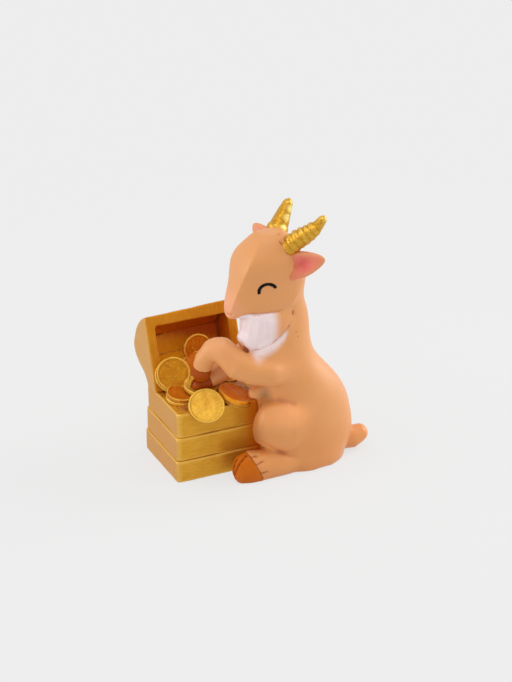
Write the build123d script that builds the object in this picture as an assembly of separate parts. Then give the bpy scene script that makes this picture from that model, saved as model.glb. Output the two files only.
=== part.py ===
from build123d import *
import os
from math import cos, radians, sin

# Hand-painted resin figurine: a resting goat with its forelegs in an open treasure chest
# that is heaped with coins. Lengths are millimetres, +Z is up and the goat looks along -X.
# While it is modelled, the origin is the chest's front left bottom corner. At the end every
# piece is moved so that the origin is the middle of the whole footprint.

# Chest: three plank courses, each a little smaller than the one below it.
chest_width = 23.0
chest_depth = 19.5
base_course_height = 5.4
middle_course_height = 5.8
top_course_height = 6.1
course_step = 0.25
plank_edge_round = 0.45
chest_corner_round = 0.9
rim_wall = 1.7
pocket_depth = 3.0

# Lid: a hollow barrel that stands open on the back of the chest, leaning back in degrees.
lid_lean = 19.4
lid_rise = 17.9
lid_right_lift = 0.7
lid_bulge = 9.7
lid_front_setback = 6.8
lid_back_setback = 2.2
lid_side_rim = 2.4
lid_top_rim = 2.4
lid_sill = 1.2
lid_wall = 1.5
lid_recess_depth = 7.0
lid_recess_round = 0.7
lid_edge_round = 0.5

# Coins, and the heap that they are pressed into.
coin_radius = 3.95
coin_thickness = 1.0
coin_rim_width = 0.55
coin_face_sink = 0.15
coin_stack_gap = 0.02
heap_rise = 4.0
heap_corner_round = 1.2

# Goat: its seat is a point on the ground at the chest's right wall, on its own middle plane.
goat_offset = 0.8
rump_length = 20.5
eye_line_radius = 0.28
eye_line_depth = 0.35
hoof_slot = 0.45
hoof_slot_depth = 1.6
fore_hoof_length = 1.7
hind_hoof_length = 2.8
hind_hoof_lean = 0.4
right_foot_setback = 11.4
right_thigh_setback = 4.0
right_leg_outset = 0.9

chest_height = base_course_height + middle_course_height + top_course_height
lid_foot_y = chest_depth - lid_front_setback

# Limbs are stations of (x, y, z, half width across, half height) from the seat, and the left
# side is -Y. What lies on the coins has its height above the chest's rim.
left_foreleg = [
    (4.5, -3.2, 25.6, 3.0, 3.3),
    (1.0, -4.6, 25.8, 3.1, 3.3),
    (-1.8, -5.0, 26.1, 3.1, 3.2),
    (-5.0, -4.2, chest_height + 9.4, 3.1, 3.2),
    (-8.6, -2.4, chest_height + 11.1, 3.0, 3.5),
    (-11.3, 0.0, chest_height + 13.8, 2.6, 2.8),
    (-13.2, 1.8, chest_height + 13.5, 2.4, 2.5),
    (-14.3, 2.9, chest_height + 11.3, 2.3, 2.3),
    (-14.7, 3.6, chest_height + 8.7, 2.2, 2.2),
    (-14.8, 3.9, chest_height + 7.5, 2.2, 2.2),
]
right_foreleg = [
    (4.0, 3.7, 27.0, 3.4, 4.6),
    (-1.0, 4.7, 26.8, 3.2, 4.2),
    (-6.0, 5.4, chest_height + 7.7, 2.6, 3.2),
    (-10.0, 5.4, chest_height + 5.5, 2.2, 2.3),
    (-13.0, 5.2, chest_height + 4.4, 2.0, 1.9),
    (-15.2, 5.0, chest_height + 3.9, 1.8, 1.7),
]
thigh = [
    (9.5, -4.0, 10.2, 3.4, 5.9),
    (6.5, -4.4, 10.8, 4.1, 7.1),
    (3.5, -4.7, 11.6, 4.3, 7.4),
    (0.5, -4.9, 12.4, 4.0, 7.0),
    (-2.0, -5.0, 13.2, 3.4, 5.8),
]
hind_foot = [
    (7.0, -4.6, 2.6, 3.1, 4.0),
    (1.0, -5.1, 2.5, 3.2, 3.9),
    (-4.0, -5.4, 2.6, 3.0, 4.0),
    (-7.2, -5.5, 2.9, 2.9, 4.3),
    (-8.6, -5.5, 2.8, 2.6, 3.9),
]
tail = [
    (rump_length - 2.5, -1.6, 3.2, 2.5, 2.7),
    (rump_length + 0.8, -2.0, 3.1, 2.6, 2.8),
    (rump_length + 2.4, -2.1, 3.7, 2.2, 2.3),
]
left_horn = [
    (2.8, -2.2, 52.0, 2.4, 2.4),
    (3.1, -3.4, 55.3, 2.6, 2.6),
    (5.0, -4.5, 57.0, 2.45, 2.45),
    (7.4, -5.2, 58.3, 2.1, 2.1),
    (9.4, -5.9, 60.2, 1.6, 1.6),
    (10.4, -6.3, 61.9, 1.1, 1.1),
]
right_horn = [
    (2.4, 2.9, 53.6, 2.7, 2.7),
    (4.3, 3.8, 57.0, 2.4, 2.4),
    (5.9, 4.6, 59.7, 1.95, 1.95),
    (7.5, 5.3, 62.0, 1.25, 1.25),
]
left_ear = [
    (3.0, -4.8, 52.2, 2.6, 1.0),
    (4.9, -6.2, 52.3, 3.1, 1.1),
    (7.0, -7.5, 52.7, 2.9, 1.0),
    (8.6, -8.5, 53.0, 1.9, 0.8),
]
right_ear = [
    (2.4, 4.2, 53.2, 2.4, 1.0),
    (2.2, 6.1, 54.0, 2.8, 1.0),
    (1.9, 7.8, 54.6, 2.4, 0.9),
    (1.6, 9.0, 54.9, 1.5, 0.7),
]
beard = [
    (0.4, -0.3, 39.8, 5.2, 7.3),
    (0.2, -0.3, 38.0, 5.7, 8.0),
    (-1.5, -0.5, 35.2, 5.0, 6.7),
    (-4.0, -0.8, 32.9, 3.2, 4.1),
]
bib = [
    (-0.2, -0.3, 33.0, 5.0, 5.0),
    (-0.8, -0.4, 30.5, 5.5, 5.0),
    (-1.4, -0.4, 28.0, 4.8, 3.8),
]
# The closed eye's line on the cheek, as (x, z).
eye_line = [(-4.1, 46.0), (-4.0, 47.3), (-3.1, 48.15), (-1.9, 48.2), (-0.5, 47.1)]


def ellipse_face(centre, direction, across, half_across, half_rise):
    """One elliptical section: its first half-axis lies along `across`."""
    side = Vector(*across)
    side = (side - direction * side.dot(direction)).normalized()
    plane = Plane(origin=centre, x_dir=side, z_dir=direction)
    return (plane * Ellipse(half_across, half_rise)).faces()[0]


def finer(stations, steps):
    """More stations, on a Catmull-Rom curve through the given ones."""
    result = []
    last = len(stations) - 1
    for i in range(last):
        four = (stations[max(i - 1, 0)], stations[i], stations[i + 1], stations[min(i + 2, last)])
        for step in range(steps):
            t = step / steps
            station = []
            for p, q, r, s in zip(*four):
                value = 2 * q + (r - p) * t + (2 * p - 5 * q + 4 * r - s) * t**2
                station.append((value + (3 * q - 3 * r + s - p) * t**3) / 2)
            result.append(tuple(station))
    return result + [stations[-1]]


def limb(stations, across=(0, 1, 0), round_start=True, steps=1):
    """A limb through its stations, with a rounded far end and, if wanted, a rounded start."""
    stations = finer(stations, steps)
    points = [Vector(*station[:3]) for station in stations]
    sections = []
    for i, station in enumerate(stations):
        before = points[max(i - 1, 0)]
        after = points[min(i + 1, len(points) - 1)]
        sections.append([points[i], (after - before).normalized(), station[3], station[4]])

    def caps(section, outward):
        centre, direction, half_across, half_rise = section
        reach = min(half_across, half_rise)
        found = []
        for angle in (30, 54, 74):
            scale = cos(radians(angle))
            place = centre + outward * (reach * sin(radians(angle)))
            found.append([place, direction, half_across * scale, half_rise * scale])
        return found

    start_caps = caps(sections[0], sections[0][1] * -1)[::-1] if round_start else []
    sections = start_caps + sections + caps(sections[-1], sections[-1][1])
    return loft([ellipse_face(c, d, across, a, b) for c, d, a, b in sections], ruled=True)


def placed(stations, sign, setback, outset):
    """The left side's stations, moved back and outwards and put on the side of `sign`."""
    return [(x + setback, -sign * (y - outset), z, a, b) for x, y, z, a, b in stations]


def cut(piece, *tools):
    """`piece` without the room that each tool takes; a tool that doesn't reach it is skipped."""
    box = piece.bounding_box()
    for tool in tools:
        other = tool.bounding_box()
        apart = (
            other.min.X > box.max.X
            or other.max.X < box.min.X
            or other.min.Y > box.max.Y
            or other.max.Y < box.min.Y
            or other.min.Z > box.max.Z
            or other.max.Z < box.min.Z
        )
        if not apart:
            piece = piece - tool
    return sorted(piece.solids(), key=lambda solid: solid.volume)[-1]


def upright_box(width, depth, height, floor):
    """A box over the middle of the chest, standing on the level `floor`."""
    box = Box(width, depth, height, align=(Align.CENTER, Align.CENTER, Align.MIN))
    return Pos(chest_width / 2, chest_depth / 2, floor) * box


def course(level):
    """One plank course of the chest; level 0 is the base."""
    heights = [base_course_height, middle_course_height, top_course_height]
    inset = course_step * level
    width = chest_width - 2 * inset
    depth = chest_depth - 2 * inset
    body = upright_box(width, depth, heights[level], sum(heights[:level]))
    body = fillet(body.edges().filter_by(Axis.Z), chest_corner_round)
    rims = body.edges().group_by(Axis.Z)[0] + body.edges().group_by(Axis.Z)[-1]
    return fillet(rims, plank_edge_round)


def pocket(height):
    """The hollow in the top course that holds the heap, up to `height` above its floor."""
    wall = 2 * (rim_wall + 2 * course_step)
    return upright_box(chest_width - wall, chest_depth - wall, height, chest_height - pocket_depth)


def lid_point(out, up):
    """A point of the lid's end outline, `out` behind the rim plane and `up` along it."""
    lean = radians(lid_lean)
    y = lid_foot_y + out * cos(lean) + up * sin(lean)
    return (y, chest_height + up * cos(lean) - out * sin(lean))


def barrel_end(x, rise, bulge, wall):
    """The barrel's outline across the chest at `x`."""
    crown = [
        (0, rise),
        (4.2 - 0.4 * wall, rise - 1.2),
        (7.8 - 0.8 * wall, rise - 3.9 + 0.2 * wall),
        (bulge, rise - 7.6 + wall),
        (bulge - 1.2, rise - 10.7 + 1.3 * wall),
        (bulge - 5.0, rise - 14.6 + 2.0 * wall),
    ]
    foot = lid_point(0, 0)
    back_foot = (chest_depth - lid_back_setback, chest_height)
    outline = [lid_point(*point) for point in crown] + [back_foot]
    face = make_face([Line(foot, outline[0]), Spline(outline), Line(back_foot, foot)])
    return Pos(x, 0, 0) * (Plane.YZ * face)


def barrel(width, wall):
    """The lid's barrel shape, `wall` inside its outer outline; its right end stands higher."""
    rise = lid_rise - wall
    bulge = lid_bulge - wall
    left = barrel_end(0, rise, bulge, wall)
    right = barrel_end(width, rise + lid_right_lift, bulge, wall)
    return loft([left.faces()[0], right.faces()[0]], ruled=True)


def chest_lid():
    """Barrel lid: its rim plane leans back and its recess opens to the front."""
    lean = radians(lid_lean)
    body = barrel(chest_width, 0)
    ends = body.edges().group_by(Axis.X)[0] + body.edges().group_by(Axis.X)[-1]
    body = fillet([e for e in ends if e.center().Z > chest_height + 1], lid_edge_round)
    width = chest_width - 2 * lid_side_rim
    hollow = barrel(chest_width, lid_wall)
    height = lid_rise - lid_top_rim - lid_sill
    frame = Box(width, height, 2 * lid_recess_depth)
    frame = fillet(frame.edges().filter_by(Axis.Z), lid_recess_round)
    foot = (chest_width / 2, *lid_point(0, 0))
    mouth = Plane(origin=foot, x_dir=(1, 0, 0), z_dir=(0, -cos(lean), sin(lean)))
    return body - (hollow & (mouth * Pos(0, lid_sill + height / 2, 0) * frame))


def build_chest():
    return {
        "chest_base_course": course(0),
        "chest_middle_course": course(1),
        "chest_top_course": course(2) - pocket(2 * pocket_depth),
        "chest_lid": chest_lid(),
    }


def coin(centre, face, radius=coin_radius):
    """A coin with a raised rim on both sides; `face` is the way that its shown side looks."""
    disc = Cylinder(radius, coin_thickness)
    sunk = Cylinder(radius - coin_rim_width, coin_face_sink)
    for side in (1, -1):
        disc -= Pos(0, 0, side * (coin_thickness - coin_face_sink) / 2) * sunk
    return Plane(origin=centre, z_dir=face) * disc


def build_coins(chest):
    """Every loose coin, each cut to fit the coins that were laid before it."""
    top = chest_height
    step = coin_thickness + coin_stack_gap
    lean = radians(lid_lean)
    flat = Vector(-0.06, -0.12, 0.99).normalized()
    stack = Vector(4.9, 7.4, top + 1.9)
    sloped = Vector(0.32, -0.16, 0.93).normalized()
    right = Vector(15.4, 2.3, top + 1.6)
    raised = Vector(-0.36, -0.80, 0.48).normalized()
    leaning = Vector(4.2, lid_foot_y - 1.2, top + 4.9)
    in_lid = Vector(12.4, *lid_point(1.1, 8.2))
    loose = {
        "coin_stack_bottom": coin(stack - flat * 2 * step + Vector(0.3, 0.2, 0), flat),
        "coin_stack_middle": coin(stack - flat * step - Vector(0.2, 0, 0), flat),
        "coin_stack_top": coin(stack, flat),
        "coin_right_lower": coin(right - sloped * step + Vector(0.5, -0.1, -0.1), sloped),
        "coin_right_upper": coin(right, sloped),
        "coin_front": coin(Vector(7.5, 0.3, top + 1.1), (-0.15, -0.66, 0.74), coin_radius + 0.3),
        "coin_leaning_back": coin(leaning - raised * step - Vector(0.5, 0, 0.2), raised),
        "coin_leaning_front": coin(leaning, raised),
        "coin_centre": coin(Vector(8.7, 6.4, top + 3.1), (0.05, -0.16, 0.98)),
        "coin_wrist": coin(Vector(11.2, lid_foot_y + 0.7, top + 4.4), (-0.2, -0.6, 0.77)),
        "coin_in_lid": coin(in_lid, (0, -cos(lean), sin(lean)), coin_radius - 0.3),
        "coin_back_right": coin(Vector(16.6, lid_foot_y - 0.7, top + 2.4), (0.25, -0.2, 0.94)),
    }
    done = {}
    for name, shape in loose.items():
        done[name] = cut(shape, *done.values(), chest["chest_lid"], chest["chest_top_course"])
    return done


def coin_heap():
    """The pressed heap that fills the chest's pocket and rises towards the lid."""
    wall = rim_wall + 2 * course_step
    levels = [
        # height, inset from the pocket's wall, shift to the back
        (chest_height, 0.0, 0.0),
        (chest_height + 0.7, 1.5, 0.0),
        (chest_height + 2.2, 4.2, 2.5),
        (chest_height + heap_rise, 6.2, 4.5),
    ]
    faces = []
    for z, inset, back in levels:
        margin = 2 * (wall + inset)
        ring = Rectangle(chest_width - margin, chest_depth - margin)
        ring = fillet(ring.vertices(), heap_corner_round)
        faces.append((Pos(chest_width / 2, chest_depth / 2 + back, z) * ring).faces()[0])
    return pocket(pocket_depth) + loft(faces)


def torso():
    """Pear-shaped trunk and neck, sitting flat on the ground."""
    sections = [
        # height, front, back, half width
        (0.0, -1.3, rump_length - 1.2, 8.4),
        (2.5, -1.9, rump_length - 0.5, 8.6),
        (7.5, -2.4, rump_length + 0.8, 8.5),
        (11.0, -2.6, rump_length + 0.4, 8.4),
        (16.0, -3.0, rump_length - 0.9, 8.0),
        (21.7, -3.4, rump_length - 4.4, 7.2),
        (28.0, -4.0, rump_length - 9.1, 6.2),
        (35.8, -3.0, 10.3, 5.0),
        (41.0, -2.0, 9.3, 4.7),
        (45.0, -0.5, 9.0, 4.4),
    ]
    faces = []
    for z, front, back, half_width in sections:
        ring = Pos((front + back) / 2, 0, z) * Ellipse((back - front) / 2, half_width)
        faces.append(ring.faces()[0])
    return loft(faces)


def head():
    """Wedge muzzle with two crisp ridges, rising into an egg-shaped forehead."""
    sections = [
        # height, front, half bridge, cheek, half cheek, back
        (39.0, -9.0, 0.4, -3.0, 1.8, 2.5),
        (39.5, -9.9, 0.9, -1.0, 3.4, 4.6),
        (40.6, -10.1, 1.5, 1.5, 4.7, 7.0),
        (44.6, -9.2, 2.5, 2.0, 5.5, 8.8),
        (48.6, -8.0, 3.5, 1.5, 5.7, 9.0),
        (53.0, -6.5, 4.5, 1.0, 5.6, 7.7),
        (55.6, -4.7, 3.6, 1.0, 4.8, 6.3),
        (57.6, -3.0, 2.5, 1.0, 3.4, 4.7),
        (58.5, -1.0, 1.2, 1.0, 1.9, 3.3),
    ]
    faces = []
    for z, front, half_bridge, cheek, half_cheek, back in sections:
        slope = (cheek - front, 1.6 * (half_cheek - half_bridge))
        left = (front, -half_bridge)
        right = (front, half_bridge)
        rear = (back, 0)
        bridge = ThreePointArc(left, (front - 0.12 * half_bridge, 0), right)
        right_side = Spline(right, (cheek, half_cheek), rear, tangents=[slope, (0, -1)])
        left_side = Spline(
            rear, (cheek, -half_cheek), left, tangents=[(0, -1), (-slope[0], slope[1])]
        )
        face = Pos(0, 0, z) * make_face([bridge, right_side, left_side])
        faces.append(face.faces()[0])
    return loft(faces)


def eye(skull, sign):
    """A closed eye: a thin bent line inlaid in the cheek on the side of `sign`."""
    through = 20.0
    path = Plane.XZ * Spline(eye_line)
    start = Plane(origin=path @ 0, z_dir=path % 0)
    stroke = sweep(start * Rectangle(2 * eye_line_radius, through), path=path)
    stroke = Pos(0, sign * through / 2, 0) * stroke
    return (skull & stroke) - Pos(0, -sign * eye_line_depth, 0) * skull


def leg_and_hoof(stations, hoof_length, lean=0.0, round_start=False):
    """A leg and its cloven hoof, parted by a plane `hoof_length` before the last station."""
    big = 60.0
    tip = Vector(*stations[-1][:3])
    along = (tip - Vector(*stations[-2][:3])).normalized()
    parting = Plane(origin=tip - along * hoof_length, z_dir=along - Vector(0, 0, lean))
    beyond = parting * Box(big, big, big, align=(Align.CENTER, Align.CENTER, Align.MIN))
    side = Vector(0, 1, 0)
    end = tip + along * min(stations[-1][3:])
    slot = Plane(origin=end, x_dir=along, z_dir=along.cross(side))
    slot = slot * Box(2 * hoof_slot_depth, hoof_slot, big)
    whole = limb(stations, round_start=round_start)
    return cut(whole, beyond), cut(whole & beyond, slot)


def build_goat(chest, coins):
    """Every goat piece in the part's frame, each cut to fit the pieces before it."""
    seat = Pos(chest_width, goat_offset, 0)
    ground = Pos(0, 0, -50) * Box(200, 200, 100)
    block = upright_box(chest_width, chest_depth, chest_height, 0)
    goat = {}

    def add(name, shape, *others):
        goat[name] = cut(seat * shape, *others)

    def done(*names):
        return [goat[name] for name in names]

    add("goat_torso", torso(), ground, block)
    skull = head()
    for side, sign in (("left", -1), ("right", 1)):
        add(f"goat_{side}_eye_line", eye(skull, sign))
    add("goat_head", skull, *done("goat_torso", "goat_left_eye_line", "goat_right_eye_line"))
    add("goat_beard", limb(beard), *done("goat_torso", "goat_head"))
    add("goat_bib", limb(bib), *done("goat_torso", "goat_beard"))

    trunk = done("goat_torso", "goat_beard", "goat_bib")
    heaped = [*coins.values(), *chest.values()]
    leg, hoof = leg_and_hoof(left_foreleg, fore_hoof_length)
    add("goat_left_foreleg", leg, *trunk, *heaped)
    add("goat_left_fore_hoof", hoof, *heaped)
    left = done("goat_left_foreleg", "goat_left_fore_hoof")
    leg, hoof = leg_and_hoof(right_foreleg, fore_hoof_length + 1.0)
    add("goat_right_foreleg", leg, *trunk, *heaped, *left)
    add("goat_right_fore_hoof", hoof, *heaped, *left)

    # The right hind leg is tucked in behind the chest's right wall, with a shorter foot.
    sides = [
        ("left", placed(thigh, -1, 0, 0), placed(hind_foot, -1, 0, 0)),
        (
            "right",
            placed(thigh, 1, right_thigh_setback, right_leg_outset),
            placed(hind_foot[1:], 1, right_foot_setback, right_leg_outset),
        ),
    ]
    for side, thigh_stations, foot_stations in sides:
        torso_and_chest = [goat["goat_torso"], block]
        add(f"goat_{side}_thigh", limb(thigh_stations), *torso_and_chest, *coins.values())
        leg, hoof = leg_and_hoof(foot_stations, hind_hoof_length, hind_hoof_lean, True)
        around = [*torso_and_chest, ground, goat[f"goat_{side}_thigh"]]
        add(f"goat_{side}_hind_foot", leg, *around)
        add(f"goat_{side}_hind_hoof", hoof, *around)

    add("goat_tail", limb(tail, round_start=False), goat["goat_torso"], ground)
    for side, horn, ear in (("left", left_horn, left_ear), ("right", right_horn, right_ear)):
        add(f"goat_{side}_horn", limb(horn, round_start=False, steps=2), goat["goat_head"])
        leaf = limb(ear, across=(0, 0, 1), round_start=False)
        add(f"goat_{side}_ear", leaf, *done("goat_head", f"goat_{side}_horn"))
    return goat


def main():
    os.makedirs("parts", exist_ok=True)
    chest = build_chest()
    coins = build_coins(chest)
    goat = build_goat(chest, coins)
    heap = cut(coin_heap(), *chest.values(), *coins.values(), *goat.values())
    pieces = {**chest, **coins, "coin_heap": heap, **goat}

    boxes = [shape.bounding_box() for shape in pieces.values()]
    middle_x = (min(box.min.X for box in boxes) + max(box.max.X for box in boxes)) / 2
    middle_y = (min(box.min.Y for box in boxes) + max(box.max.Y for box in boxes)) / 2
    for name, shape in pieces.items():
        export_step(Pos(-middle_x, -middle_y, 0) * shape, f"parts/{name}.step")


if __name__ == "__main__":
    main()
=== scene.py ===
import bmesh
import bpy
import numpy as np
from math import cos, pi, radians, sin
from mathutils import Matrix, Vector
from mathutils.bvhtree import BVHTree


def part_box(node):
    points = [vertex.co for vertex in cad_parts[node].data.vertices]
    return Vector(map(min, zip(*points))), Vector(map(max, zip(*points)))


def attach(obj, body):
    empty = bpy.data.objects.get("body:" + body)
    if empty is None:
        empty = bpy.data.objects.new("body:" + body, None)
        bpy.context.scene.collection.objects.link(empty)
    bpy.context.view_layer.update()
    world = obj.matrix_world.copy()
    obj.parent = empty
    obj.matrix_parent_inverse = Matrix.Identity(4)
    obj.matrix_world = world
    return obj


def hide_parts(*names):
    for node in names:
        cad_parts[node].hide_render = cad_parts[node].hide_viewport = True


# A palm-sized figurine of painted cast resin: a goat with closed eyes sits on the ground and
# rests its forelegs on the coins in an open treasure chest. Lengths are metres, +Z is up, the
# goat looks along -X, and its left side is -Y.
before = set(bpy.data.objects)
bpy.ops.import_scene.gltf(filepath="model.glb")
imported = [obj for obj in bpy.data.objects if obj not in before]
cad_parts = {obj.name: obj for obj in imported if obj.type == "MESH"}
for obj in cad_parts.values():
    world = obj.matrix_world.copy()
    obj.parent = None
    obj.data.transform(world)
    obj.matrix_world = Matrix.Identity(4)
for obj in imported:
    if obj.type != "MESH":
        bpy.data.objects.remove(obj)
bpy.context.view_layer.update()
mm = 0.001

# ---------------------------------------------------------------------------------------------
# Chest planks: three courses cast in one with the figurine. The carver cut the seams by hand,
# so the edges wander a little, and the gold paint is brushed along the boards with a brown
# wash that stays in the seams. Painted shade darkens the gold towards the goat, and painted
# highlights make the left end paler and the raised edges brighter.
course_edge_round = 0.24 * mm
course_corner_round = 0.85 * mm
board_grain = 0.24 * mm
carving_size = 5.5 * mm
carving_depth = 0.2 * mm
brush_size = 0.9 * mm
brush_depth = 0.035 * mm
board_hollow = 0.05 * mm
sharp_angle = radians(50)
chest_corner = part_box("chest_base_course")[0]
chest_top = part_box("chest_top_course")[1].z
chest_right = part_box("chest_base_course")[1].x


def only(*pieces):
    """Selects these pieces and nothing else, in object mode."""
    if bpy.context.object and bpy.context.object.mode != "OBJECT":
        bpy.ops.object.mode_set(mode="OBJECT")
    bpy.ops.object.select_all(action="DESELECT")
    for piece in pieces:
        piece.select_set(True)
    bpy.context.view_layer.objects.active = pieces[0]


def pick(piece, kind, wanted):
    """Goes to edit mode and selects the vertices, edges or faces that are wanted."""
    only(piece)
    bpy.ops.object.mode_set(mode="EDIT")
    bpy.ops.mesh.select_mode(type=kind)
    bpy.ops.mesh.select_all(action="DESELECT")
    shape = bmesh.from_edit_mesh(piece.data)
    for part in {"VERT": shape.verts, "EDGE": shape.edges, "FACE": shape.faces}[kind]:
        part.select_set(bool(wanted(part)))
    bmesh.update_edit_mesh(piece.data)


def apply(piece, kind, **settings):
    """Adds a modifier with these settings and applies it."""
    only(piece)
    modifier = piece.modifiers.new(kind.lower(), kind)
    for name, value in settings.items():
        setattr(modifier, name, value)
    bpy.ops.object.modifier_apply(modifier=modifier.name)


def carve(piece, size, depth, direction="NORMAL"):
    """Makes a surface uneven, as hand carving leaves it, with lumps of about `size`."""
    lumps = bpy.data.textures.new("carving", "CLOUDS")
    lumps.noise_scale = size
    lumps.noise_depth = 1
    apply(piece, "DISPLACE", texture=lumps, strength=depth, mid_level=0.5, direction=direction)


def clay(piece, grain, rounds):
    """Turns a piece into one even skin with faces of about `grain`, and softens its edges."""
    apply(piece, "REMESH", mode="VOXEL", voxel_size=grain, adaptivity=0)
    if rounds:
        apply(piece, "SMOOTH", factor=0.5, iterations=rounds)


def keep(piece, name, values):
    """Stores one value at each point of a piece, for its paint."""
    store = piece.data.attributes.new(name, "FLOAT", "POINT")
    store.data.foreach_set("value", values.astype(np.float32))


def hollows(piece, rounds, full):
    """Stores how deep each point lies in a hollow, from 0 to 1 at a depth of `full`: there a thin
    wash of paint collects, and on the flesh painted shade."""
    only(piece)
    bpy.ops.object.duplicate()
    soft = bpy.context.object
    apply(soft, "SMOOTH", factor=0.5, iterations=rounds)
    count = len(piece.data.vertices)
    before, after, normal = np.empty(count * 3), np.empty(count * 3), np.empty(count * 3)
    piece.data.vertices.foreach_get("co", before)
    soft.data.vertices.foreach_get("co", after)
    piece.data.vertex_normals.foreach_get("vector", normal)
    rise = ((after - before) * normal).reshape(-1, 3).sum(axis=1)
    keep(piece, "hollow", np.clip(rise / full, -1, 1))
    bpy.data.objects.remove(soft)


def hand_over(piece, paint, slot, *nodes):
    """Gives a finished piece its paint and puts it in the place of its CAD nodes. What was
    carved a little below the ground is sanded flat."""
    only(piece)
    bpy.ops.object.transform_apply()
    if any(v.co.z < 0 for v in piece.data.vertices):
        pick(piece, "VERT", lambda v: v.co.z < 0)
        bpy.ops.transform.resize(value=(1, 1, 0), center_override=(0, 0, 0))
        only(piece)
    bpy.ops.object.shade_smooth_by_angle(angle=sharp_angle)
    piece.data.materials.clear()
    piece.data.materials.append(paint)
    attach(piece, "root")
    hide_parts(*nodes)


class Reading:
    """A value in a paint's node tree: arithmetic on it adds Math nodes."""

    def __init__(self, paint, socket):
        self.paint = paint
        self.socket = socket

    def math(self, operation, first, second):
        return self.paint.node("ShaderNodeMath", {"operation": operation}, {0: first, 1: second})

    def __add__(self, other):
        return self.math("ADD", self, other)

    def __radd__(self, other):
        return self.math("ADD", other, self)

    def __sub__(self, other):
        return self.math("SUBTRACT", self, other)

    def __rsub__(self, other):
        return self.math("SUBTRACT", other, self)

    def __mul__(self, other):
        return self.math("MULTIPLY", self, other)


class Paint:
    """A paint on resin. Places in it are millimetres in the figurine's own frame."""

    def __init__(self, name, **constants):
        self.material = bpy.data.materials.new(name)
        self.material.use_nodes = True
        self.tree = self.material.node_tree
        self.shader = self.tree.nodes["Principled BSDF"]
        for socket, value in constants.items():
            self.shader.inputs[socket.replace("_", " ")].default_value = value
        self.metres = self.node("ShaderNodeTexCoord", output="Object")
        self.place = self.vector("SCALE", self.metres, scale=1000)
        self.parts = {
            axis: self.node("ShaderNodeSeparateXYZ", {}, {0: self.place}, axis) for axis in "XYZ"
        }

    def node(self, kind, settings=None, inputs=None, output=0):
        """Adds a node: first its settings, then the values or links of its sockets."""
        node = self.tree.nodes.new(kind)
        for name, value in (settings or {}).items():
            if name == "stops":
                ramp = node.color_ramp
                for spot, colour in value[len(ramp.elements):]:
                    ramp.elements.new(spot)
                for element, (spot, colour) in zip(ramp.elements, value):
                    element.position = spot
                    element.color = colour
            else:
                setattr(node, name, value)
        for socket, value in (inputs or {}).items():
            if isinstance(value, Reading):
                self.tree.links.new(value.socket, node.inputs[socket])
            else:
                node.inputs[socket].default_value = value
        return Reading(self, node.outputs[output])

    def vector(self, operation, first, second=None, scale=None):
        """Vector arithmetic; only LENGTH gives a single value."""
        inputs = {0: first}
        if second is not None:
            inputs[1] = second
        if scale is not None:
            inputs["Scale"] = scale
        output = 1 if operation == "LENGTH" else 0
        return self.node("ShaderNodeVectorMath", {"operation": operation}, inputs, output)

    def fade(self, value, start, end, low=0.0, high=1.0):
        """Goes smoothly from `low` at `start` to `high` at `end`."""
        inputs = {0: value, 1: start, 2: end, 3: low, 4: high}
        return self.node("ShaderNodeMapRange", {"interpolation_type": "SMOOTHSTEP"}, inputs)

    def spot(self, centre, reach, edge=0.5):
        """1 in the middle of an ellipsoid with half-axes `reach`, 0 outside it."""
        offset = self.vector("SUBTRACT", self.place, centre)
        distance = self.vector("LENGTH", self.vector("DIVIDE", offset, reach))
        return self.fade(distance, 1.0, edge)

    def grain(self, size, detail=3.0, stretch=(1, 1, 1), roughness=0.55):
        """Noise from 0 to 1 with spots of about `size`, longer along a small `stretch`."""
        spread = self.vector("MULTIPLY", self.place, stretch)
        inputs = {"Vector": spread, "Scale": 1 / size, "Detail": detail, "Roughness": roughness}
        return self.node("ShaderNodeTexNoise", {}, inputs)

    def mix(self, share, under, over):
        """Lays the colour `over` on the colour `under`, as thickly as `share` says."""
        inputs = {0: share, 6: under, 7: over}
        return self.node("ShaderNodeMix", {"data_type": "RGBA"}, inputs, 2)

    def stored(self, name):
        """A value that was stored at the piece's points."""
        return self.node("ShaderNodeAttribute", {"attribute_name": name}, {}, 2)

    def finish(self, colour, roughness=None, metallic=None, bump=None, depth=0.1):
        """Feeds the shader; `depth` is the height of the bump in millimetres."""
        inputs = {"Base Color": colour, "Roughness": roughness, "Metallic": metallic}
        if bump is not None:
            raised = {"Height": bump, "Distance": depth * mm, "Strength": 1.0}
            inputs["Normal"] = self.node("ShaderNodeBump", {}, raised)
        for name, value in inputs.items():
            if value is not None:
                self.tree.links.new(value.socket, self.shader.inputs[name])
        return self.material


def colour(red, green, blue):
    """A paint's colour from its tube values, 0 to 255."""
    return tuple(((c / 255 + 0.055) / 1.055) ** 2.4 for c in (red, green, blue)) + (1,)


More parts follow.
